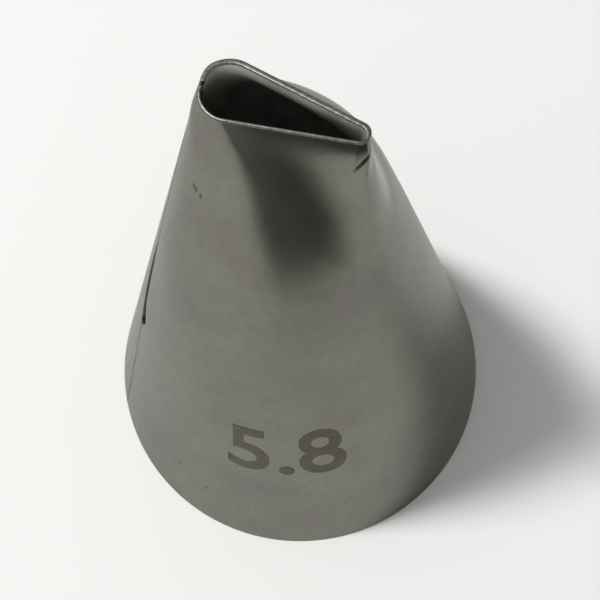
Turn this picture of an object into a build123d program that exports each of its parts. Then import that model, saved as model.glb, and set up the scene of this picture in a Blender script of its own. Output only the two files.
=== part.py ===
from build123d import *
from math import acos, asin, cos, hypot, pi, radians, sin
import os

# A small petal piping nozzle: one sheet of stainless steel, rolled into a cone,
# closed by a butt seam down its wide side and pressed flat at the tip, so that
# the mouth is a slot shaped like a teardrop.
# Frame: millimetres, +Z up, origin in the middle of the base circle. The slot
# lies along X, with its wide end and the seam on the -X side. The seam meets the
# rim at the end of the slot and leans towards the front (-Y) on its way down.

# Driving dimensions
base_radius = 9.0
height = 32.5
slot_length = 5.8
wide_end_radius = 1.04
narrow_end_radius = 0.38
sheet_thickness = 0.25

# The round body between the base and the slot: how much the front and the back
# swell above straight lines, how much the side below the narrow end sags inside
# one, and how strongly and how close to the rim the mouth draws the swell in again
body_swell = 1.1
narrow_side_sag = 0.63
mouth_draw_share = 2.7
mouth_draw_power = 25.0

# The pressed tip: how far down it reaches, and how fast each end of the slot opens out
pressed_length = 9.5
wide_end_power = 3.0
narrow_end_power = 1.0

# The butt seam, and the open slit that its weld leaves, as shares of the height
seam_gap = 0.12
seam_base_offset = 4.6
slit_bottom_share = 0.35
slit_top_share = 0.6
rim_notch_depth = 0.7

# How far the flat sides ease into the round ends, as an angle of the section
tip_easing_degrees = 8.0
pressed_easing_degrees = 35.0

# Counts of sections up the cone, of points round each, and of steps that place the points,
# and how closely the sections crowd towards the rim
section_count = 18
section_crowding = 1.6
outline_count = 61
walk_count = 2400
weld_step_count = 10


def smooth_step(value):
    """Ease from 0 to 1 without a corner at either end."""
    value = min(max(value, 0.0), 1.0)
    return value * value * (3 - 2 * value)


def pressed_share_at(z):
    """Share of the way from the foot of the pressed tip to the rim."""
    return min(max(1 - (height - z) / pressed_length, 0.0), 1.0)


def bow_share_at(z):
    """Share of a bow from the base to the rim, full at two thirds of the height."""
    height_share = z / height
    return 27 / 4 * height_share * height_share * (1 - height_share)


def middle_x_at(z):
    """Middle of a section along the slot."""
    return -narrow_side_sag / 2 * bow_share_at(z)


def half_width_at(z):
    """Distance from the middle of a section to the outside of the sheet, along the slot."""
    straight = base_radius + (slot_length / 2 - base_radius) * z / height
    return straight - narrow_side_sag / 2 * bow_share_at(z)


def half_depth_at(z):
    """Distance from the middle of a section to the outside of the sheet, across the slot."""
    straight = base_radius + (wide_end_radius - base_radius) * z / height
    drawn_share = mouth_draw_share * (z / height) ** mouth_draw_power
    return straight + body_swell * bow_share_at(z) * (1 - drawn_share)


def end_reaches(z):
    """Lengths along the slot over which the wide end and the narrow end are round."""
    pressed_share = pressed_share_at(z)
    wide_share = wide_end_radius / (slot_length / 2)
    narrow_share = narrow_end_radius / (slot_length / 2)
    wide_share = 1 - (1 - wide_share) * pressed_share**wide_end_power
    narrow_share += (1 - narrow_share) * (1 - pressed_share) ** narrow_end_power
    return half_width_at(z) * wide_share, half_width_at(z) * narrow_share


def seam_y_at(z):
    """Place of the middle of the seam across the slot, at a height."""
    return seam_base_offset * (z / height - 1)


def wide_centre_at(z):
    """Centre of the round wide end of a section, along the slot."""
    wide, _ = end_reaches(z)
    return middle_x_at(z) - half_width_at(z) + wide


def sheet_side(z, inset):
    """Points at even steps along one side of the sheet, from seam edge to seam edge."""
    wide, narrow = end_reaches(z)
    half_depth = half_depth_at(z)
    wide_centre = wide_centre_at(z)
    apart = 2 * half_width_at(z) - wide - narrow
    turn = acos(min((wide - narrow) / apart, 1.0)) if apart > 0 else 0.0
    easing_degrees = pressed_easing_degrees
    easing_degrees += (tip_easing_degrees - pressed_easing_degrees) * smooth_step(pressed_share_at(z))
    easing = min(radians(easing_degrees), turn)
    first = asin((seam_gap / 2 - seam_y_at(z)) / (half_depth - inset)) - pi
    last = pi - asin((seam_gap / 2 + seam_y_at(z)) / (half_depth - inset))
    walk = []
    walked = [0.0]
    for step in range(walk_count + 1):
        angle = first + (last - first) * step / walk_count
        eased = smooth_step((abs(angle) - turn + easing) / (2 * easing)) if easing else 1.0
        centre = wide_centre + apart * (1 - eased)
        reach = narrow + (wide - narrow) * eased
        x = centre + (reach - inset) * cos(angle)
        y = (half_depth * reach / wide - inset) * sin(angle)
        if step:
            walked.append(walked[-1] + hypot(x - walk[-1][0], y - walk[-1][1]))
        walk.append((x, y))
    points = [walk[0]]
    step = 1
    for place in range(1, outline_count - 1):
        target = walked[-1] * place / (outline_count - 1)
        while walked[step] < target:
            step += 1
        share = (target - walked[step - 1]) / (walked[step] - walked[step - 1])
        x = walk[step - 1][0] + (walk[step][0] - walk[step - 1][0]) * share
        y = walk[step - 1][1] + (walk[step][1] - walk[step - 1][1]) * share
        points.append((x, y))
    return points + [walk[-1]]


def seam_corner(z, inset, length_share):
    """Point of the sheet at the middle of the seam, in the plane of the seam."""
    wide, _ = end_reaches(z)
    turn = asin(seam_y_at(z) / (half_depth_at(z) - inset))
    return wide_centre_at(z) - (wide - inset) * cos(turn), z * length_share


def weld_outline(bottom, top):
    """Corners of a weld run, which fills the seam through the sheet."""
    length_share = hypot(height, seam_base_offset) / height
    heights = [bottom + (top - bottom) * step / weld_step_count for step in range(weld_step_count + 1)]
    outer = [seam_corner(z, 0, length_share) for z in heights]
    inner = [seam_corner(z, sheet_thickness, length_share) for z in reversed(heights)]
    return outer + inner


os.makedirs("parts", exist_ok=True)
even_shares = [place / (outline_count - 1) for place in range(outline_count)]
seam_plane = Plane(
    origin=(0, -seam_base_offset, 0),
    x_dir=(1, 0, 0),
    z_dir=(0, -height, seam_base_offset),
)

# The rolled and pressed sheet, open along its seam
with BuildPart() as nozzle_shell:
    for step in range(section_count):
        section_height = height * (1 - (1 - step / (section_count - 1)) ** section_crowding)
        outer_side = sheet_side(section_height, 0)
        inner_side = sheet_side(section_height, sheet_thickness)
        with BuildSketch(Plane.XY.offset(section_height)):
            with BuildLine():
                add(Edge.make_spline(outer_side, parameters=even_shares))
                Line(outer_side[-1], inner_side[-1])
                add(Edge.make_spline(inner_side, parameters=even_shares))
                Line(outer_side[0], inner_side[0])
            make_face()
    loft()
nozzle_shell.part.label = "nozzle_shell"
export_step(nozzle_shell.part, "parts/nozzle_shell.step")

# The weld that closes the seam round the base
with BuildPart() as lower_seam_weld:
    with BuildSketch(seam_plane):
        with BuildLine():
            Polyline(*weld_outline(0, height * slit_bottom_share), close=True)
        make_face()
    extrude(amount=seam_gap / 2, dir=(0, 1, 0), both=True)
lower_seam_weld.part.label = "lower_seam_weld"
export_step(lower_seam_weld.part, "parts/lower_seam_weld.step")

# The weld that closes the seam below the rim, above the open slit
with BuildPart() as upper_seam_weld:
    with BuildSketch(seam_plane):
        with BuildLine():
            Polyline(*weld_outline(height * slit_top_share, height - rim_notch_depth), close=True)
        make_face()
    extrude(amount=seam_gap / 2, dir=(0, 1, 0), both=True)
upper_seam_weld.part.label = "upper_seam_weld"
export_step(upper_seam_weld.part, "parts/upper_seam_weld.step")
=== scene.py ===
"""Finishes and studio for a small petal piping nozzle.

The nozzle is one stainless sheet, rolled to a cone, closed by a butt seam and
pressed flat at its mouth. Lengths in this file are millimetres, and each mesh is
scaled to metres as it is made.
"""

import logging
import math
from dataclasses import dataclass, field
from enum import Enum

import bmesh
import bpy
import numpy as np
from mathutils import Matrix, Vector


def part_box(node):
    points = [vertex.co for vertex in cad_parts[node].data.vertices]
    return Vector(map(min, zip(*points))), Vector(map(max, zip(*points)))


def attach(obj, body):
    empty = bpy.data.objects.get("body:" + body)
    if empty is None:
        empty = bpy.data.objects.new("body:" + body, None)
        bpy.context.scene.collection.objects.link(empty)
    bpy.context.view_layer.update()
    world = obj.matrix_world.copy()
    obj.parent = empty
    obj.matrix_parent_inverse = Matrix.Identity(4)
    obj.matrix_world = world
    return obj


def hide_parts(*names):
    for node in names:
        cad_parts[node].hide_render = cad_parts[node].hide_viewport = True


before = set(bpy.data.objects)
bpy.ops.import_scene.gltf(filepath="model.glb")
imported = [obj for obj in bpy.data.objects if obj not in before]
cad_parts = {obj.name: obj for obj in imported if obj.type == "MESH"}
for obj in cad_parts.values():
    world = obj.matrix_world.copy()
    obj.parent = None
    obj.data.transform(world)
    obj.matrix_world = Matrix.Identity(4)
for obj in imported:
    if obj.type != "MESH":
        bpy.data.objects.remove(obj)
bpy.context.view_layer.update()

BODY = "root"
MM = 0.001
# Scale that makes a bow of share * share * (1 - share) reach 1 at its highest
BOW_SCALE = 27 / 4
# Numbers of a mix node's two colour inputs and of its colour output
MIX_FIRST = 6
MIX_SECOND = 7
MIX_RESULT = 2
# About the length of one band of the wave texture at a scale of 1
WAVE_BAND = 0.3

Tree = bpy.types.NodeTree
Socket = bpy.types.NodeSocket

log = logging.getLogger("nozzle")


class Finish(Enum):
    """Material slots of the record that the pieces belong to."""

    SHEET = "satin_steel"
    WELD = "weld_steel"


class Face(Enum):
    """Places of the sheet's four materials in its mesh."""

    ROLLED = 0
    CUT = 1
    INSIDE = 2
    # Near-black painted shade on the open slit's edges
    SCORCHED = 3


def linear_from_hex(code: str) -> tuple[float, float, float, float]:
    """Turn an sRGB hex colour into linear light.

    Args:
        code: Colour such as "#8c8f89".

    Returns:
        Red, green, blue and an alpha of 1.
    """
    parts = [int(code[i : i + 2], 16) / 255 for i in (1, 3, 5)]
    lit = [p / 12.92 if p <= 0.04045 else ((p + 0.055) / 1.055) ** 2.4 for p in parts]
    return lit[0], lit[1], lit[2], 1.0


def smooth_step(value: np.ndarray | float) -> np.ndarray | float:
    """Ease from 0 to 1 without a corner at either end."""
    held = np.clip(value, 0.0, 1.0)
    return held * held * (3 - 2 * held)


def bell(distance: np.ndarray | float, reach: float) -> np.ndarray | float:
    """Fall from 1 to 0 with distance, to about a third at the reach."""
    return np.exp(-((distance / reach) ** 2))


def direction(turn: float, rise: float = 0.0) -> Vector:
    """Unit vector at a turn from +X and a rise above the table, both in radians."""
    return Vector((math.cos(turn) * math.cos(rise), math.sin(turn) * math.cos(rise), math.sin(rise)))


def put_in_scene(name: str, data: bpy.types.ID) -> bpy.types.Object:
    """Make an object of a mesh, curve, camera or light, and put it in the scene.

    Args:
        name: Name of the object.
        data: What the object shows.

    Returns:
        The new object.
    """
    thing = bpy.data.objects.new(name, data)
    bpy.context.scene.collection.objects.link(thing)
    return thing


def new_piece(name: str, points: np.ndarray, faces: list[tuple[int, ...]]) -> bpy.types.Object:
    """Make a smooth mesh object and put it in the scene.

    Args:
        name: Name of the piece.
        points: Rows of x, y and z, in millimetres.
        faces: Corners of each face.

    Returns:
        The new object.
    """
    mesh = bpy.data.meshes.new(name)
    mesh.from_pydata((points * MM).tolist(), [], faces)
    mesh.shade_smooth()
    return put_in_scene(name, mesh)


def add_node(
    tree: Tree, kind: str, settings: dict | None = None, links: dict | None = None
) -> bpy.types.Node:
    """Add a shader node, set it and link its inputs.

    Args:
        tree: Node tree that takes the node.
        kind: Blender's name of the node type.
        settings: Attribute or input names, or input numbers, with their values. A
            colour is a hex code.
        links: Input names or numbers with the output sockets that feed them.

    Returns:
        The new node.
    """
    node = tree.nodes.new(kind)
    for name, value in (settings or {}).items():
        if isinstance(value, str) and value.startswith("#"):
            value = linear_from_hex(value)
        if isinstance(name, int) or name in node.inputs:
            node.inputs[name].default_value = value
        else:
            setattr(node, name, value)
    for name, socket in (links or {}).items():
        tree.links.new(socket, node.inputs[name])
    return node


def new_material(name: str, settings: dict) -> tuple[bpy.types.Material, Tree, bpy.types.Node]:
    """Make a material with a lone principled shader.

    Args:
        name: Name of the material.
        settings: Names of the shader's inputs with their values.

    Returns:
        The material, its node tree and its principled shader.
    """
    material = bpy.data.materials.new(name)
    material.use_nodes = True
    tree = material.node_tree
    tree.nodes.clear()
    shader = add_node(tree, "ShaderNodeBsdfPrincipled", settings)
    add_node(tree, "ShaderNodeOutputMaterial", links={"Surface": shader.outputs["BSDF"]})
    return material, tree, shader


@dataclass(frozen=True)
class RolledSteel:
    """Stainless steel sheet, cold rolled, with a dull satin face.

    Rolling and handling leave faint blotches and a very fine grain, which
    spread a reflection into a soft grey sheen with no sharp highlight. The jaws
    of the press have burnished the flats at the tip, so these mirror more clearly.
    """

    name: str = "rolled_satin_steel"
    pale: str = "#858779"
    dark: str = "#7b7872"
    tarnish: str = "#6a685c"
    tarnish_share: float = 0.25
    # Grazing light is lost in the satin grain, so the edges aren't brighter than the middle
    edge_tint: str = "#d4d4d4"
    roughness: tuple[float, float] = (0.26, 0.32)
    burnished_share: float = 0.7
    burnish_edge_mm: float = 1.2
    cloud_mm: float = 4.0
    cloud_tones: tuple[float, float] = (0.3, 0.7)
    streak_mm: float = 0.3
    streak_length_mm: float = 0.9
    streak_tones: tuple[float, float] = (0.45, 0.75)
    # The real grain is about 0.01 mm, too fine for the picture, so it is coarser
    grain_mm: float = 0.07
    grain_depth_mm: float = 0.0025
    pit_colour: str = "#2a2820"
    pit_reach_mm: float = 0.1
    pit_stretch: float = 2.6

    def blotched(self, tree: Tree, place: Socket, streak: Socket) -> Socket:
        """Give the sheet its blotches and its faint streaks of tarnish.

        Args:
            tree: Node tree of the material.
            place: Place on the piece, in metres.
            streak: Noise of the streaks.

        Returns:
            The sheet's colour.
        """
        cloud = add_node(
            tree,
            "ShaderNodeTexNoise",
            {"Scale": 1 / (self.cloud_mm * MM), "Detail": 3.0, "Roughness": 0.55},
            {"Vector": place},
        )
        low, high = self.cloud_tones
        settings = {"From Min": low, "From Max": high}
        tone = add_node(tree, "ShaderNodeMapRange", settings, {"Value": cloud.outputs["Fac"]})
        settings = {"data_type": "RGBA", MIX_FIRST: self.pale, MIX_SECOND: self.dark}
        clouded = add_node(tree, "ShaderNodeMix", settings, {0: tone.outputs["Result"]})
        low, high = self.streak_tones
        settings = {"From Min": low, "From Max": high, "To Max": self.tarnish_share}
        faint = add_node(tree, "ShaderNodeMapRange", settings, {"Value": streak})
        settings = {"data_type": "RGBA", MIX_SECOND: self.tarnish}
        links = {0: faint.outputs["Result"], MIX_FIRST: clouded.outputs[MIX_RESULT]}
        return add_node(tree, "ShaderNodeMix", settings, links).outputs[MIX_RESULT]

    def pitted(self, tree: Tree, place: Socket, colour: Socket, pits: list[Vector]) -> Socket:
        """Put small dark pits, drawn out upwards, in a colour.

        Args:
            tree: Node tree of the material.
            place: Place on the piece, in metres.
            colour: The colour round the pits.
            pits: Places of the pits, in metres.

        Returns:
            The colour with the pits in it.
        """
        squash = Vector((1.0, 1.0, 1 / self.pit_stretch))
        squashed = add_node(tree, "ShaderNodeMapping", {"Scale": tuple(squash)}, {"Vector": place})
        spots = []
        for pit in pits:
            settings = {"operation": "DISTANCE", 1: tuple(pit * squash)}
            away = add_node(tree, "ShaderNodeVectorMath", settings, {0: squashed.outputs["Vector"]})
            settings = {"From Max": self.pit_reach_mm * MM, "To Min": 1.0, "To Max": 0.0}
            spot = add_node(tree, "ShaderNodeMapRange", settings, {"Value": away.outputs["Value"]})
            spots.append(spot.outputs["Result"])
        hollow = spots[0]
        for spot in spots[1:]:
            links = {0: hollow, 1: spot}
            hollow = add_node(tree, "ShaderNodeMath", {"operation": "MAXIMUM"}, links).outputs["Value"]
        settings = {"data_type": "RGBA", MIX_SECOND: self.pit_colour}
        links = {0: hollow, MIX_FIRST: colour}
        return add_node(tree, "ShaderNodeMix", settings, links).outputs[MIX_RESULT]

    def burnished(self, tree: Tree, place: Socket, sheen: Socket, crease: list[Vector]) -> Socket:
        """Smooth the sheet past the press's crease.

        Args:
            tree: Node tree of the material.
            place: Place on the piece, in metres.
            sheen: Roughness of the sheet before it was pressed.
            crease: Upper and lower end of the crease, in metres.

        Returns:
            The roughness that is left.
        """
        along = crease[1] - crease[0]
        across = Vector((-along.z, 0.0, along.x)).normalized()
        edge = across.dot(crease[0])
        settings = {"operation": "DOT_PRODUCT", 1: tuple(across)}
        past = add_node(tree, "ShaderNodeVectorMath", settings, {0: place})
        settings = {
            "interpolation_type": "SMOOTHSTEP",
            "From Min": edge,
            "From Max": edge + self.burnish_edge_mm * MM,
            "To Min": 1.0,
            "To Max": self.burnished_share,
        }
        share = add_node(tree, "ShaderNodeMapRange", settings, {"Value": past.outputs["Value"]})
        links = {0: sheen, 1: share.outputs["Result"]}
        return add_node(tree, "ShaderNodeMath", {"operation": "MULTIPLY"}, links).outputs["Value"]

    def make(self, pits: list[Vector], crease: list[Vector]) -> bpy.types.Material:
        """Build the material.

        Args:
            pits: Places of small dark pits, in metres.
            crease: Upper and lower end of the press's crease, in metres.

        Returns:
            The material.
        """
        settings = {"Metallic": 1.0, "Specular Tint": self.edge_tint}
        material, tree, shader = new_material(self.name, settings)
        place = add_node(tree, "ShaderNodeTexCoord").outputs["Object"]
        squeeze = {"Scale": (1.0, 1.0, self.streak_mm / self.streak_length_mm)}
        drawn = add_node(tree, "ShaderNodeMapping", squeeze, {"Vector": place})
        streak = add_node(
            tree,
            "ShaderNodeTexNoise",
            {"Scale": 1 / (self.streak_mm * MM), "Detail": 2.0, "Roughness": 0.6},
            {"Vector": drawn.outputs["Vector"]},
        ).outputs["Fac"]
        grain = add_node(
            tree,
            "ShaderNodeTexNoise",
            {"Scale": 1 / (self.grain_mm * MM), "Detail": 3.0, "Roughness": 0.7},
            {"Vector": place},
        )
        settings = {"Strength": 0.5, "Distance": self.grain_depth_mm * MM}
        relief = add_node(tree, "ShaderNodeBump", settings, {"Height": grain.outputs["Fac"]})
        settings = {"To Min": self.roughness[0], "To Max": self.roughness[1]}
        sheen = add_node(tree, "ShaderNodeMapRange", settings, {"Value": streak}).outputs["Result"]
        colour = self.blotched(tree, place, streak)
        tree.links.new(self.pitted(tree, place, colour, pits), shader.inputs["Base Color"])
        tree.links.new(self.burnished(tree, place, sheen, crease), shader.inputs["Roughness"])
        tree.links.new(relief.outputs["Normal"], shader.inputs["Normal"])
        return material


@dataclass(frozen=True)
class MottledFinish:
    """A finish of two colours in one pattern of marks, which also raises its relief."""

    name: str
    # Colours between the marks and in them
    ground: str
    marks: str
    # Width of the marks and their length up the nozzle
    mark_mm: float
    mark_length_mm: float
    relief_mm: float
    roughness: float
    # Values of the pattern that give the two colours, and how much finer marks show in it
    tones: tuple[float, float] = (0.35, 0.65)
    detail: float = 4.0
    fineness: float = 0.6
    relief_strength: float = 0.4
    metallic: float = 1.0
    gloss: float = 0.5

    def make(self) -> bpy.types.Material:
        """Build the material.

        Returns:
            The material.
        """
        settings = {
            "Metallic": self.metallic,
            "Roughness": self.roughness,
            "Specular IOR Level": self.gloss,
        }
        material, tree, shader = new_material(self.name, settings)
        place = add_node(tree, "ShaderNodeTexCoord").outputs["Object"]
        squeeze = {"Scale": (1.0, 1.0, self.mark_mm / self.mark_length_mm)}
        drawn = add_node(tree, "ShaderNodeMapping", squeeze, {"Vector": place})
        mottle = add_node(
            tree,
            "ShaderNodeTexNoise",
            {"Scale": 1 / (self.mark_mm * MM), "Detail": self.detail, "Roughness": self.fineness},
            {"Vector": drawn.outputs["Vector"]},
        ).outputs["Fac"]
        low, high = self.tones
        tone = add_node(tree, "ShaderNodeMapRange", {"From Min": low, "From Max": high}, {"Value": mottle})
        settings = {"data_type": "RGBA", MIX_FIRST: self.ground, MIX_SECOND: self.marks}
        colour = add_node(tree, "ShaderNodeMix", settings, {0: tone.outputs["Result"]})
        settings = {"Strength": self.relief_strength, "Distance": self.relief_mm * MM}
        relief = add_node(tree, "ShaderNodeBump", settings, {"Height": mottle})
        tree.links.new(colour.outputs[MIX_RESULT], shader.inputs["Base Color"])
        tree.links.new(relief.outputs["Normal"], shader.inputs["Normal"])
        return material


@dataclass(frozen=True)
class DrawnInside(MottledFinish):
    """The inside of the cone, left as it was drawn over the forming mandrel.

    Nothing has polished it, so a matt grey film dulls the metal and takes light
    from every side, with darker smears along the cone.
    """

    name: str = "drawn_steel_inside"
    ground: str = "#c6c3bd"
    marks: str = "#a09c95"
    mark_mm: float = 1.2
    mark_length_mm: float = 8.0
    relief_mm: float = 0.005
    roughness: float = 0.6
    metallic: float = 0.3


@dataclass(frozen=True)
class ShearedEdge(MottledFinish):
    """The cut edge of the stainless sheet, sheared and then tumbled smooth.

    The cut is a cleaner grey than the rolled face, with fine darker marks on it.
    """

    name: str = "sheared_steel_edge"
    ground: str = "#82817d"
    marks: str = "#5f5e5a"
    mark_mm: float = 0.12
    mark_length_mm: float = 0.12
    relief_mm: float = 0.004
    roughness: float = 0.4
    detail: float = 3.0


@dataclass(frozen=True)
class EtchedOxide(MottledFinish):
    """Dark oxide that a laser's heat leaves on stainless steel.

    It is brown, dull and a little patchy, because the heat was uneven. An oxide
    isn't a metal, so it has only a weak gloss.
    """

    name: str = "laser_etched_oxide"
    ground: str = "#393420"
    marks: str = "#4d472e"
    mark_mm: float = 0.35
    mark_length_mm: float = 0.35
    relief_mm: float = 0.006
    roughness: float = 0.5
    tones: tuple[float, float] = (0.42, 0.72)
    fineness: float = 0.65
    relief_strength: float = 0.5
    metallic: float = 0.0
    gloss: float = 0.3


@dataclass(frozen=True)
class ScorchedSteel(EtchedOxide):
    """Near-black finish on the open seam's edges and the weld ends beside it: partly heat oxide, partly
    painted shade of the seam's dark gap.
    """

    name: str = "slit_shade_and_oxide_edge"
    ground: str = "#14120f"
    marks: str = "#262219"


@dataclass(frozen=True)
class WeldBead:
    """Fused stainless steel of a seam weld, made without filler and pickled.

    Cooling leaves close ripples across the bead and a slightly darker, duller face.
    """

    name: str = "pickled_weld_steel"
    pale: str = "#7d7e74"
    dark: str = "#68685e"
    edge_tint: str = "#d4d4d4"
    roughness: float = 0.4
    ripple_mm: float = 0.28
    ripple_depth_mm: float = 0.01

    def make(self) -> bpy.types.Material:
        """Build the material.

        Returns:
            The material.
        """
        settings = {"Metallic": 1.0, "Roughness": self.roughness, "Specular Tint": self.edge_tint}
        material, tree, shader = new_material(self.name, settings)
        place = add_node(tree, "ShaderNodeTexCoord").outputs["Object"]
        settings = {
            "wave_type": "BANDS",
            "bands_direction": "Z",
            "Scale": WAVE_BAND / (self.ripple_mm * MM),
            "Distortion": 2.0,
            "Detail": 2.0,
        }
        ripple = add_node(tree, "ShaderNodeTexWave", settings, {"Vector": place}).outputs["Fac"]
        settings = {"data_type": "RGBA", MIX_FIRST: self.dark, MIX_SECOND: self.pale}
        colour = add_node(tree, "ShaderNodeMix", settings, {0: ripple})
        settings = {"Strength": 0.5, "Distance": self.ripple_depth_mm * MM}
        relief = add_node(tree, "ShaderNodeBump", settings, {"Height": ripple})
        tree.links.new(colour.outputs[MIX_RESULT], shader.inputs["Base Color"])
        tree.links.new(relief.outputs["Normal"], shader.inputs["Normal"])
        return material


@dataclass(frozen=True)
class FadingMatt:
    """A plain matt finish that fades out with the distance from the nozzle's axis."""

    name: str
    colour: str
    roughness: float
    gloss: float
    # Distances at which nothing of the piece is left, and at which all of it is there
    gone: float
    full: float

    def make(self) -> bpy.types.Material:
        """Build the material.

        Returns:
            The material.
        """
        settings = {
            "Base Color": self.colour,
            "Roughness": self.roughness,
            "Specular IOR Level": self.gloss,
        }
        material, tree, shader = new_material(self.name, settings)
        place = add_node(tree, "ShaderNodeTexCoord").outputs["Object"]
        away = add_node(tree, "ShaderNodeVectorMath", {"operation": "LENGTH"}, {0: place})
        settings = {
            "interpolation_type": "SMOOTHSTEP",
            "From Min": self.gone * MM,
            "From Max": self.full * MM,
        }
        cover = add_node(tree, "ShaderNodeMapRange", settings, {"Value": away.outputs["Value"]})
        tree.links.new(cover.outputs["Result"], shader.inputs["Alpha"])
        return material


@dataclass
class SheetForm:
    """Shape of the rolled and pressed sheet, at any height and depth.

    The base and the height come from the frame. The other sizes are those that
    the frame's sheet was drawn with, but the press's crease is crisper here.
    """

    slot_length: float = 5.8
    wide_end_radius: float = 1.04
    narrow_end_radius: float = 0.38
    thickness: float = 0.25
    body_swell: float = 1.1
    narrow_side_sag: float = 0.63
    mouth_draw_share: float = 2.7
    mouth_draw_power: float = 25.0
    pressed_length: float = 9.5
    wide_end_power: float = 3.0
    narrow_end_power: float = 1.0
    seam_gap: float = 0.12
    seam_base_offset: float = 4.6
    slit_bottom_share: float = 0.35
    slit_top_share: float = 0.6
    rim_notch_depth: float = 0.7
    tip_easing_degrees: float = 6.0
    pressed_easing_degrees: float = 13.0
    walk_count: int = 2400
    base_radius: float = field(init=False)
    height: float = field(init=False)
    slit_bottom: float = field(init=False)
    slit_top: float = field(init=False)
    notch_bottom: float = field(init=False)

    def __post_init__(self) -> None:
        """Take the base and the height from the frame, and place the seam's open parts."""
        low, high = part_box("nozzle_shell")
        self.base_radius = (high.x - low.x) / 2 / MM
        self.height = high.z / MM
        self.slit_bottom = self.slit_bottom_share * self.height
        self.slit_top = self.slit_top_share * self.height
        self.notch_bottom = self.height - self.rim_notch_depth

    def pressed_share(self, z: float) -> float:
        """Share of the way from the foot of the pressed tip to the rim."""
        return min(max(1 - (self.height - z) / self.pressed_length, 0.0), 1.0)

    def bow_share(self, z: float) -> float:
        """Share of a bow from the base to the rim, full at two thirds of the height."""
        share = z / self.height
        return BOW_SCALE * share * share * (1 - share)

    def middle_x(self, z: float) -> float:
        """Middle of a section along the slot."""
        return -self.narrow_side_sag / 2 * self.bow_share(z)

    def half_width(self, z: float) -> float:
        """Distance from the middle of a section to the outside of the sheet, along the slot."""
        straight = self.base_radius + (self.slot_length / 2 - self.base_radius) * z / self.height
        return straight + self.middle_x(z)

    def half_depth(self, z: float) -> float:
        """Distance from the middle of a section to the outside of the sheet, across the slot."""
        straight = self.base_radius + (self.wide_end_radius - self.base_radius) * z / self.height
        drawn_share = self.mouth_draw_share * (z / self.height) ** self.mouth_draw_power
        return straight + self.body_swell * self.bow_share(z) * (1 - drawn_share)

    def end_reaches(self, z: float) -> tuple[float, float]:
        """Lengths along the slot over which the wide and narrow ends are round."""
        pressed = self.pressed_share(z)
        wide = self.wide_end_radius / (self.slot_length / 2)
        narrow = self.narrow_end_radius / (self.slot_length / 2)
        wide = 1 - (1 - wide) * pressed**self.wide_end_power
        narrow += (1 - narrow) * (1 - pressed) ** self.narrow_end_power
        return self.half_width(z) * wide, self.half_width(z) * narrow

    def wide_centre(self, z: float) -> float:
        """Centre of the round wide end of a section, along the slot."""
        return self.middle_x(z) - self.half_width(z) + self.end_reaches(z)[0]

    def apart(self, z: float) -> float:
        """Distance between the centres of a section's two round ends."""
        wide, narrow = self.end_reaches(z)
        return 2 * self.half_width(z) - wide - narrow

    def turn_and_easing(self, z: float) -> tuple[float, float]:
        """Turn from +X at which the round ends meet, and how far each eases into the flat."""
        wide, narrow = self.end_reaches(z)
        apart = self.apart(z)
        turn = math.acos(min((wide - narrow) / apart, 1.0)) if apart > 0 else 0.0
        degrees = self.pressed_easing_degrees
        degrees += (self.tip_easing_degrees - degrees) * smooth_step(self.pressed_share(z))
        return turn, min(math.radians(degrees), turn)

    def crease_x(self, z: float) -> float:
        """Place along the slot where the flats meet the round wide end, at a height."""
        turn, easing = self.turn_and_easing(z)
        return self.wide_centre(z) + self.end_reaches(z)[0] * math.cos(turn + easing)

    def seam_y(self, z: float) -> float:
        """Place of the middle of the seam across the slot, at a height."""
        return self.seam_base_offset * (z / self.height - 1)

    def point(self, z: float, inset: np.ndarray | float, angle: np.ndarray | float) -> np.ndarray:
        """Points of a section.

        Args:
            z: Height of the section.
            inset: Depth of each point below the outside of the sheet.
            angle: Turn of each point from +X, in radians.

        Returns:
            A row of x and y for each point.
        """
        wide, narrow = self.end_reaches(z)
        turn, easing = self.turn_and_easing(z)
        eased = smooth_step((np.abs(angle) - turn + easing) / (2 * easing)) if easing else 1.0
        centre = self.wide_centre(z) + self.apart(z) * (1 - eased)
        reach = narrow + (wide - narrow) * eased
        x = centre + (reach - inset) * np.cos(angle)
        y = (self.half_depth(z) * reach / wide - inset) * np.sin(angle)
        return np.stack([x, y], axis=-1)

    def seam_angles(self, z: float, inset: float, gaps: tuple[float, float]) -> tuple[float, float]:
        """Turns at which the sheet's two edges lie.

        Args:
            z: Height of the section.
            inset: Depth below the outside of the sheet.
            gaps: Distances of the front and back edges from the seam's middle.

        Returns:
            Turns of the front and back edges from +X, in radians.
        """
        front, back = gaps
        depth = self.half_depth(z) - inset
        first = math.asin((front - self.seam_y(z)) / depth) - math.pi
        last = math.pi - math.asin((back + self.seam_y(z)) / depth)
        return first, last


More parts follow.
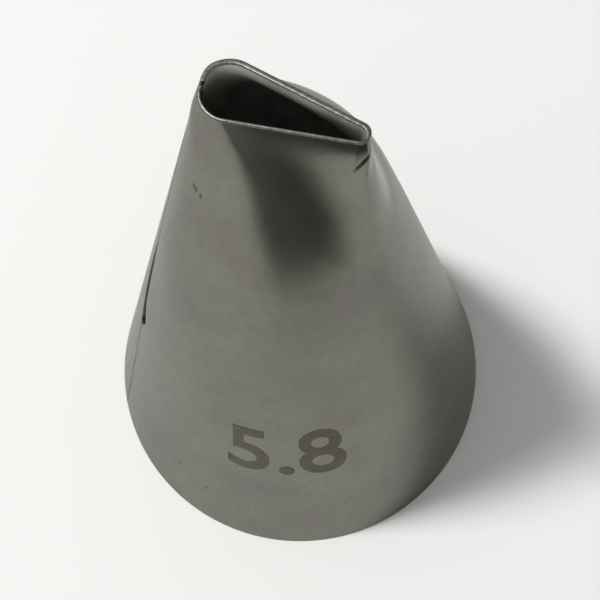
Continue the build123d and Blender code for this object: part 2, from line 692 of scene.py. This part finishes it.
@dataclass
class NozzleShell:
    """The rolled and pressed sheet, with its cut edges, open slit and fold."""

    form: SheetForm
    columns: int = 321
    rows: int = 300
    row_crowding: float = 1.5
    edge_steps: int = 4
    # Sine of the turn away from the slot at which a form of the front or the back is full
    side_easing: float = 0.7
    front_rim_thickness: float = 0.12
    back_rim_thickness: float = 0.2
    rim_thinning_length: float = 2.5
    # Share of the back's thickness in the rim's, at the ends of the slot
    thinning_at_ends: float = 0.5
    rim_rounding: float = 0.05
    base_rounding: float = 0.06
    seam_rounding: float = 0.03
    # Largest share of the sheet that one round of its edge takes up
    rounded_share: float = 0.45
    slit_bulge: float = 0.2
    pit_bulge: float = 0.38
    pit_length: float = 2.2
    lip_lift: float = 0.03
    lip_reach: float = 0.5
    notch_bulge: float = 0.02
    # How far below the slit its edges get the near-black painted shade, as a share of the height
    scorched_share: float = 0.03
    # Height from which the pressed front runs straight to the rim, where it leaves the cone smoothly
    front_foot: float = 28.1
    flare: float = 0.15
    flare_height: float = 0.6
    flare_power: float = 1.5
    # Share of the flare at the narrow end
    flare_at_narrow_end: float = 0.15
    fold_depth: float = 0.15
    fold_reach: float = 0.06
    fold_top: float = 0.45
    fold_drop: float = 2.2
    fold_length: float = 0.5
    # Places across the slot at which the fold is full and gone
    fold_full_y: float = -0.12
    fold_gone_y: float = 0.28
    # Places of small dark pits in the face, as heights and turns from +X in degrees
    pits: tuple[tuple[float, float], ...] = (
        (28.4, -132.1),
        (28.35, -129.5),
        (28.3, -124.5),
        (4.2, -114.5),
        (3.65, -102.9),
    )

    def thinning(self, z: float, angle: np.ndarray | float) -> np.ndarray | float:
        """How much thinner pressing has left the sheet near the rim, most of all in front.

        Args:
            z: Height of the points.
            angle: Turn of each point from +X, in radians.

        Returns:
            A length for each point.
        """
        near_rim = smooth_step(1 - (self.form.height - z) / self.rim_thinning_length)
        back_share = smooth_step(np.sin(angle) + self.thinning_at_ends)
        rim = self.front_rim_thickness + (self.back_rim_thickness - self.front_rim_thickness) * back_share
        return (self.form.thickness - rim) * near_rim

    def front_fullness(self, z: float, angle: np.ndarray) -> np.ndarray:
        """How far the pressed front stands out, so that it runs flat right up to the rim.

        Args:
            z: Height of the points.
            angle: Turn of each point from +X, in radians.

        Returns:
            A length for each point.
        """
        form = self.form
        drawn_in = form.half_depth(self.front_foot) - form.wide_end_radius
        flat = form.wide_end_radius + drawn_in * (form.height - z) / (form.height - self.front_foot)
        fullness = max(flat - form.half_depth(z), 0.0) if z > self.front_foot else 0.0
        return fullness * smooth_step(-np.sin(angle) / self.side_easing)

    def rim_flare(self, z: float, points: np.ndarray, angle: np.ndarray) -> np.ndarray:
        """How far the back of the rim is bent outwards, most of all at the wide end.

        Args:
            z: Height of the points.
            points: Rows of x and y.
            angle: Turn of each point from +X, in radians.

        Returns:
            A length for each point.
        """
        form = self.form
        near_rim = max(1 - (form.height - z) / self.flare_height, 0.0) ** self.flare_power
        wide_share = (form.middle_x(z) + form.half_width(z) - points[:, 0]) / form.slot_length
        along_share = np.clip(self.flare_at_narrow_end + wide_share, 0.0, 1.0)
        back_share = smooth_step(np.sin(angle) / self.side_easing)
        return self.flare * near_rim * back_share * along_share

    def fold(self, z: float, points: np.ndarray) -> np.ndarray:
        """Depth of the sharp fold where the pinched narrow end meets the body.

        The fold goes round the narrow end just below the rim and runs down the front.

        Args:
            z: Height of the points.
            points: Rows of x and y.

        Returns:
            A depth for each point.
        """
        form = self.form
        away = np.clip(form.middle_x(z) + form.half_width(z) - points[:, 0], 0.0, None)
        drop = self.fold_top + self.fold_drop * away
        fading = np.sqrt(np.clip(1 - away / self.fold_length, 0.0, 1.0))
        front = smooth_step((self.fold_gone_y - points[:, 1]) / (self.fold_gone_y - self.fold_full_y))
        return self.fold_depth * bell(form.height - z - drop, self.fold_reach) * fading * front

    def slit_arch(self, z: float) -> float:
        """Share of an arch from the bottom of the open slit to its top."""
        form = self.form
        share = (z - form.slit_bottom) / (form.slit_top - form.slit_bottom)
        return math.sin(math.pi * min(max(share, 0.0), 1.0))

    def seam_gaps(self, z: float, rounding: float) -> tuple[float, float]:
        """Distances of the sheet's edges from the seam's middle.

        Args:
            z: Height of the section.
            rounding: How much further away the points lie, which round the edges off.

        Returns:
            Distances in front and at the back.
        """
        form = self.form
        half_pit = self.pit_length / 2
        bulge = self.slit_bulge * self.slit_arch(z)
        pit = self.pit_bulge * float(bell(z - form.slit_bottom - half_pit, half_pit))
        notch = self.notch_bulge * float(smooth_step((z - form.height) / form.rim_notch_depth + 1))
        back = form.seam_gap / 2 + bulge + notch + rounding
        return back + pit, back

    def lip(self, z: float) -> float:
        """How far the slit's front edge stands proud, at a height."""
        return self.lip_lift * self.slit_arch(z) ** 2

    def quarter_turn(self) -> list[float]:
        """Turns of the points that round an edge off, from beside the face to the cut."""
        return [math.pi / 2 * step / self.edge_steps for step in range(1, self.edge_steps + 1)]

    def face_points(self, z: float, inset: float, outside: bool, rounding: float) -> np.ndarray:
        """Points at even steps along one side of the sheet, from its front edge to its back edge.

        Args:
            z: Height of the section.
            inset: Depth of the points below the outside, before the face's own forms.
            outside: Whether it is the outside, or else the inside.
            rounding: Radius of the edges' rounds.

        Returns:
            Rows of x and y.
        """
        form = self.form
        first, last = form.seam_angles(z, inset, self.seam_gaps(z, rounding))
        walk = np.linspace(first, last, form.walk_count + 1)
        steps = np.hypot(*np.diff(form.point(z, inset, walk), axis=0).T)
        walked = np.concatenate([[0.0], np.cumsum(steps)])
        even = np.linspace(0.0, walked[-1], self.columns)
        angles = np.interp(even, walked, walk)
        points = form.point(z, inset, angles)
        depth = inset - self.lip(z) * bell(even, self.lip_reach)
        depth = depth - self.rim_flare(z, points, angles) - self.front_fullness(z, angles)
        depth = depth + self.fold(z, points)
        if not outside:
            depth = depth - self.thinning(z, angles)
        return form.point(z, depth, angles)

    def edge_points(self, z: float, insets: tuple[float, float], front: bool, rounding: float) -> np.ndarray:
        """Points across a cut edge of the seam, from the outside of the sheet to the inside.

        Args:
            z: Height of the section.
            insets: Depths of the outer and inner points below the outside.
            front: Whether it is the front edge, or else the back edge.
            rounding: Radius of the edge's rounds.

        Returns:
            Rows of x and y.
        """
        form = self.form
        inner = insets[1] - float(self.thinning(z, math.pi))
        lift = self.lip(z) if front else 0.0
        turns = self.quarter_turn()
        rounds = [(turn, insets[0], 1) for turn in turns]
        rounds += [(turn, inner, -1) for turn in reversed(turns)]
        points = []
        for turn, side, way in rounds:
            inset = side + way * rounding * (1 - math.cos(turn))
            first, last = form.seam_angles(z, inset, self.seam_gaps(z, rounding * (1 - math.sin(turn))))
            points.append(form.point(z, inset - lift, first if front else last))
        return np.array(points)

    def loop(self, z: float, inset: float) -> np.ndarray:
        """Points once round the sheet at a height.

        They run along the outside from the seam's front edge to its back edge, round
        that edge, back along the inside and round the front edge.

        Args:
            z: Height of the section.
            inset: Depth of the points below either side of the sheet.

        Returns:
            Rows of x, y and z.
        """
        insets = (inset, self.form.thickness - inset)
        rounding = min(self.seam_rounding, self.rounded_share * (insets[1] - insets[0]))
        rows = [
            self.face_points(z, insets[0], True, rounding),
            self.edge_points(z, insets, False, rounding),
            self.face_points(z, insets[1], False, rounding)[::-1],
            self.edge_points(z, insets, True, rounding)[::-1],
        ]
        flat = np.concatenate(rows)
        return np.column_stack([flat, np.full(len(flat), z)])

    def loops(self) -> list[np.ndarray]:
        """Loops round the sheet from the base to the rim, with the two ends rounded off.

        Returns:
            Rows of x, y and z for each loop.
        """
        height = self.form.height
        loops = []
        for turn in reversed(self.quarter_turn()):
            z = self.base_rounding * (1 - math.sin(turn))
            loops.append(self.loop(z, self.base_rounding * (1 - math.cos(turn))))
        for row in range(self.rows):
            share = 1 - (1 - row / (self.rows - 1)) ** self.row_crowding
            z = self.base_rounding + (height - self.base_rounding - self.rim_rounding) * share
            loops.append(self.loop(z, 0.0))
        for turn in self.quarter_turn():
            z = height - self.rim_rounding * (1 - math.sin(turn))
            loops.append(self.loop(z, self.rim_rounding * (1 - math.cos(turn))))
        return loops

    def face_at(self, row: int, place: int, count: int, z: float) -> Face:
        """Which material a face of the sheet has.

        Args:
            row: Number of the loop below the face.
            place: Place of the face in that loop.
            count: Number of loops.
            z: Height of that loop.

        Returns:
            The face's material. The edges of the open slit get a near-black
            finish of painted shade, and the welded edges look like the sheet beside them.
        """
        form = self.form
        side, along = divmod(place, self.columns + 2 * self.edge_steps)
        if row < self.edge_steps or row >= count - 1 - self.edge_steps:
            return Face.CUT
        if along < self.columns - 1:
            return Face.INSIDE if side else Face.ROLLED
        # The open slit's edges get painted shade: a near-black finish for the dark gap between them.
        if form.slit_bottom_share - self.scorched_share < z / form.height < form.slit_top_share:
            return Face.SCORCHED
        return Face.CUT if z > form.notch_bottom else Face.ROLLED

    def skin(self, loops: list[np.ndarray]) -> tuple[list[tuple[int, ...]], list[int]]:
        """Close the sheet with faces between its loops and across its two ends.

        Args:
            loops: Rows of x, y and z for each loop.

        Returns:
            Corners of each face, and the place of its material in the mesh.
        """
        around = len(loops[0])
        faces = []
        slots = []
        for row in range(len(loops) - 1):
            low = row * around
            for place in range(around):
                after = (place + 1) % around
                faces.append((low + place, low + after, low + around + after, low + around + place))
                slots.append(self.face_at(row, place, len(loops), float(loops[row][0, 2])).value)
        outside = list(range(around - self.edge_steps, around))
        outside += list(range(self.columns + self.edge_steps))
        mirrored = 2 * self.columns + 2 * self.edge_steps - 1
        opposite = [(mirrored - place) % around for place in outside]
        top = (len(loops) - 1) * around
        for a, b, c, d in zip(outside, outside[1:], opposite[1:], opposite):
            faces.append((top + a, top + b, top + c, top + d))
            faces.append((d, c, b, a))
            slots += [Face.CUT.value, Face.CUT.value]
        return faces, slots

    def build(self, scorched: bpy.types.Material) -> bpy.types.Object:
        """Make the sheet as one closed mesh.

        Args:
            scorched: Material of the open slit's edges, near-black painted shade of the gap.

        Returns:
            The new object.
        """
        form = self.form
        loops = self.loops()
        faces, slots = self.skin(loops)
        piece = new_piece("nozzle_sheet", np.concatenate(loops), faces)
        pits = [Vector((*form.point(z, 0.0, math.radians(turn)), z)) * MM for z, turn in self.pits]
        crease = [Vector((form.crease_x(z), 0.0, z)) * MM for z in (form.height, self.front_foot)]
        piece.data.materials.append(RolledSteel().make(pits, crease))
        piece.data.materials.append(ShearedEdge().make())
        piece.data.materials.append(DrawnInside().make())
        piece.data.materials.append(scorched)
        piece.data.polygons.foreach_set("material_index", slots)
        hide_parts("nozzle_shell")
        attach(piece, BODY)
        return piece


@dataclass
class SeamWeld:
    """A run of the seam's weld, with the ripples that it set in."""

    form: SheetForm
    bottom: float
    top: float
    half_width: float = 0.12
    crown: float = 0.012
    toe: float = 0.002
    ripple_pitch: float = 0.28
    ripple_height: float = 0.001
    end_length: float = 0.35
    # Length at each end of the run that takes the near-black painted shade of the open seam
    scorched_length: float = 0.3
    row_pitch: float = 0.05
    across: int = 9

    def ring(self, z: float) -> list[tuple[float, float, float]]:
        """Points once round the bead, across its outside and back across its inside.

        Args:
            z: Height of the points.

        Returns:
            The x, y and z of each point.
        """
        form = self.form
        ripple = self.ripple_height * math.sin(2 * math.pi * z / self.ripple_pitch)
        near_end = min(z - self.bottom, self.top - z) / self.end_length
        full = math.sqrt(smooth_step(near_end))
        points = []
        for way, inset in ((1, 0.0), (-1, form.thickness)):
            for place in range(self.across):
                share = (2 * place / (self.across - 1) - 1) * way
                height = (self.crown + ripple) * (1 - share * share) * full - self.toe
                depth = inset - way * height
                y = form.seam_y(z) + share * self.half_width
                turn = math.asin(y / (form.half_depth(z) - depth))
                x = form.point(z, depth, math.pi - turn)[0]
                points.append((float(x), y, z))
        return points

    def scorched_at(self, z: float) -> int:
        """Place of the material at a height: 1 close to an end, where near-black painted shade of the open
        seam goes; the end at the base has none.
        """
        foot = z - self.bottom if self.bottom else self.top
        return int(min(foot, self.top - z) < self.scorched_length)

    def build(
        self, name: str, node: str, material: bpy.types.Material, scorched: bpy.types.Material
    ) -> bpy.types.Object:
        """Make the run as a closed bead through the sheet.

        Args:
            name: Name of the piece.
            node: CAD node that it takes the place of.
            material: The weld's material.
            scorched: Material of its ends, apart from one at the base: near-black painted shade of the open
                seam.

        Returns:
            The new object.
        """
        rows = int((self.top - self.bottom) / self.row_pitch) + 1
        heights = [self.bottom + (self.top - self.bottom) * row / (rows - 1) for row in range(rows)]
        points = [point for z in heights for point in self.ring(z)]
        around = 2 * self.across
        faces = []
        slots = []
        for row in range(rows - 1):
            low = row * around
            for place in range(around):
                after = (place + 1) % around
                faces.append((low + place, low + around + place, low + around + after, low + after))
                slots.append(self.scorched_at(heights[row]))
        faces.append(tuple(range(around)))
        faces.append(tuple(reversed(range((rows - 1) * around, rows * around))))
        slots += [self.scorched_at(heights[0]), self.scorched_at(heights[-1])]
        piece = new_piece(name, np.array(points), faces)
        piece.data.materials.append(material)
        piece.data.materials.append(scorched)
        piece.data.polygons.foreach_set("material_index", slots)
        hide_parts(node)
        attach(piece, BODY)
        return piece


@dataclass
class SizeMark:
    """The length of the slot in millimetres, etched on the front of the cone."""

    form: SheetForm
    middle_height: float = 10.9
    middle_degrees: float = -73.0
    width: float = 5.2
    digit_height: float = 4.9
    boldness: float = 0.014
    curve_steps: int = 6
    proud: float = 0.008
    strip: float = 0.2

    def flat_digits(self) -> bmesh.types.BMesh:
        """Make the digits as a flat film of the mark's size.

        Returns:
            The film, in millimetres from its middle.
        """
        curve = bpy.data.curves.new("mark_letters", "FONT")
        curve.body = f"{self.form.slot_length:.1f}"
        curve.resolution_u = self.curve_steps
        curve.offset = self.boldness
        holder = put_in_scene("mark_letters", curve)
        bpy.context.view_layer.update()
        film = bmesh.new()
        film.from_mesh(holder.to_mesh())
        holder.to_mesh_clear()
        bpy.data.objects.remove(holder)
        bpy.data.curves.remove(curve)
        points = np.array([vert.co[:2] for vert in film.verts])
        low, high = points.min(axis=0), points.max(axis=0)
        for vert in film.verts:
            share_x, share_y = (np.array(vert.co[:2]) - low) / (high - low) - 0.5
            vert.co = (share_x * self.width, share_y * self.digit_height, 0.0)
        return film

    def cut_in_strips(self, film: bmesh.types.BMesh) -> None:
        """Cut the film both ways, so that it can follow the cone's round face.

        Args:
            film: The flat film.
        """
        for size, normal in ((self.width, (1, 0, 0)), (self.digit_height, (0, 1, 0))):
            for cut in np.arange(-size / 2, size / 2, self.strip):
                bmesh.ops.bisect_plane(
                    film,
                    geom=[*film.verts, *film.edges, *film.faces],
                    plane_co=[n * float(cut) for n in normal],
                    plane_no=normal,
                )

    def build(self) -> bpy.types.Object:
        """Make the mark as a film on the sheet.

        Returns:
            The new object.
        """
        form = self.form
        film = self.flat_digits()
        self.cut_in_strips(film)
        radius = form.half_width(self.middle_height)
        narrowing = form.half_depth(0.0) - form.half_depth(self.middle_height)
        upright = math.cos(math.atan(narrowing / self.middle_height))
        for vert in film.verts:
            angle = math.radians(self.middle_degrees) + vert.co.x / radius
            z = self.middle_height + vert.co.y * upright
            x, y = form.point(z, -self.proud, angle)
            vert.co = (float(x) * MM, float(y) * MM, z * MM)
        mesh = bpy.data.meshes.new("size_mark")
        film.to_mesh(mesh)
        film.free()
        mesh.materials.append(EtchedOxide().make())
        piece = put_in_scene("size_mark", mesh)
        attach(piece, BODY)
        return piece


@dataclass(frozen=True)
class PhotoCamera:
    """The camera at the photograph's viewing angle, close above the mouth."""

    azimuth_degrees: float = 22.1
    elevation_degrees: float = 73.1
    roll_degrees: float = -3.0
    distance: float = 83.0
    aim_right: float = 0.18
    aim_ahead: float = 3.51
    focal_pixels: float = 1600.0
    frame_pixels: float = 600.0
    sensor: float = 36.0
    nearest: float = 1.0
    farthest: float = 10000.0

    def build(self) -> None:
        """Place the camera and make it the scene's."""
        turn = math.radians(self.azimuth_degrees)
        rise = math.radians(self.elevation_degrees)
        back = direction(turn - math.pi / 2, rise)
        right = direction(turn)
        ahead = direction(turn + math.pi / 2)
        place = right * self.aim_right + ahead * self.aim_ahead + back * self.distance
        up = back.cross(right)
        roll = math.radians(self.roll_degrees)
        rolled_right = right * math.cos(roll) + up * math.sin(roll)
        rolled_up = up * math.cos(roll) - right * math.sin(roll)
        data = bpy.data.cameras.new("photo_camera")
        data.sensor_fit = "HORIZONTAL"
        data.sensor_width = self.sensor
        data.lens = self.focal_pixels / self.frame_pixels * self.sensor
        data.clip_start = self.nearest * MM
        data.clip_end = self.farthest * MM
        camera = put_in_scene("photo_camera", data)
        turned = Matrix((rolled_right, rolled_up, back)).transposed().to_4x4()
        camera.matrix_world = Matrix.Translation(place * MM) @ turned
        bpy.context.scene.camera = camera


@dataclass(frozen=True)
class Studio:
    """A white table, a soft lamp high on the left, a pale room and a grey card.

    The lamp's shadow falls short, just right of the base, where the lower side of
    the cone mirrors it. The table goes over into the room's pale walls. The
    ceiling is dim, and the rim mirrors it. The card lies on the table in front and
    fades out towards the nozzle. It darkens what the pressed flat mirrors.
    """

    table_half: float = 1500.0
    laminate: FadingMatt = FadingMatt(
        "matt_white_laminate", "#f6f6f4", roughness=0.9, gloss=0.1, gone=180.0, full=45.0
    )
    wall_level: float = 0.9
    wall_top: float = 0.2
    ceiling_level: float = 0.2
    ceiling_edge: float = 0.7
    lamp_side: float = 36.0
    lamp_distance: float = 300.0
    lamp_azimuth_degrees: float = 188.0
    lamp_elevation_degrees: float = 68.0
    lamp_power: float = 0.62
    # The card has faded out where it ends, close to the nozzle
    flock: FadingMatt = FadingMatt(
        "grey_flocked_card", "#565656", roughness=1.0, gloss=0.0, gone=23.0, full=49.0
    )
    card_left_degrees: tuple[float, float] = (-56.0, -104.0)
    card_right_degrees: float = -14.0
    card_reach: tuple[float, float] = (23.0, 600.0)
    card_lift: float = 0.3
    card_steps: int = 16

    def table(self) -> None:
        """Make the table top."""
        half = self.table_half
        corners = [(-half, -half, 0.0), (half, -half, 0.0), (half, half, 0.0), (-half, half, 0.0)]
        floor = new_piece("table_top", np.array(corners), [(0, 1, 2, 3)])
        floor.data.materials.append(self.laminate.make())

    def card(self) -> None:
        """Make the grey card, which only mirrors see."""
        corners = []
        for step in range(self.card_steps + 1):
            for reach, left in zip(self.card_reach, self.card_left_degrees):
                turn = math.radians(left + (self.card_right_degrees - left) * step / self.card_steps)
                corners.append((reach * math.cos(turn), reach * math.sin(turn), self.card_lift))
        faces = [(2 * i, 2 * i + 1, 2 * i + 3, 2 * i + 2) for i in range(self.card_steps)]
        card = new_piece("dark_card", np.array(corners), faces)
        card.data.materials.append(self.flock.make())
        card.visible_camera = False
        card.visible_diffuse = False
        card.visible_shadow = False

    def lamp(self) -> None:
        """Hang the lamp, turned to the nozzle."""
        turn = math.radians(self.lamp_azimuth_degrees)
        rise = math.radians(self.lamp_elevation_degrees)
        way = direction(turn, rise)
        data = bpy.data.lights.new("soft_lamp", "AREA")
        data.shape = "SQUARE"
        data.size = self.lamp_side * MM
        data.energy = self.lamp_power
        lamp = put_in_scene("soft_lamp", data)
        turned = way.to_track_quat("Z", "Y").to_matrix().to_4x4()
        lamp.matrix_world = Matrix.Translation(way * self.lamp_distance * MM) @ turned

    def room(self) -> None:
        """Make the room, whose pale walls go over into a dim ceiling."""
        world = bpy.data.worlds.new("pale_room")
        world.use_nodes = True
        tree = world.node_tree
        tree.nodes.clear()
        way = add_node(tree, "ShaderNodeTexCoord").outputs["Generated"]
        rise = add_node(tree, "ShaderNodeSeparateXYZ", links={"Vector": way}).outputs["Z"]
        settings = {
            "interpolation_type": "SMOOTHSTEP",
            "From Min": self.wall_top,
            "From Max": self.ceiling_edge,
            "To Min": self.wall_level,
            "To Max": self.ceiling_level,
        }
        level = add_node(tree, "ShaderNodeMapRange", settings, {"Value": rise}).outputs["Result"]
        pale = add_node(tree, "ShaderNodeBackground", {"Color": "#ffffff"}, {"Strength": level})
        add_node(tree, "ShaderNodeOutputWorld", links={"Surface": pale.outputs["Background"]})
        bpy.context.scene.world = world

    def build(self) -> None:
        """Set up the whole studio."""
        self.table()
        self.card()
        self.lamp()
        self.room()


def main() -> None:
    """Build the nozzle's looks, its studio and its camera."""
    logging.basicConfig(level=logging.INFO, format="%(name)s: %(message)s")
    bpy.context.scene.view_settings.view_transform = "Standard"
    PhotoCamera().build()
    Studio().build()
    form = SheetForm()
    weld = WeldBead().make()
    # Near-black finish that paints the shade of the open seam on the slit's edges and the weld ends, over a
    # little heat oxide.
    scorched = ScorchedSteel().make()
    lower = SeamWeld(form, 0.0, form.slit_bottom)
    upper = SeamWeld(form, form.slit_top, form.notch_bottom)
    pieces = [
        NozzleShell(form).build(scorched),
        lower.build("lower_weld_bead", "lower_seam_weld", weld, scorched),
        upper.build("upper_weld_bead", "upper_seam_weld", weld, scorched),
        SizeMark(form).build(),
    ]
    for piece in pieces:
        log.info("%s: %d faces", piece.name, len(piece.data.polygons))


if __name__ == "__main__":
    main()
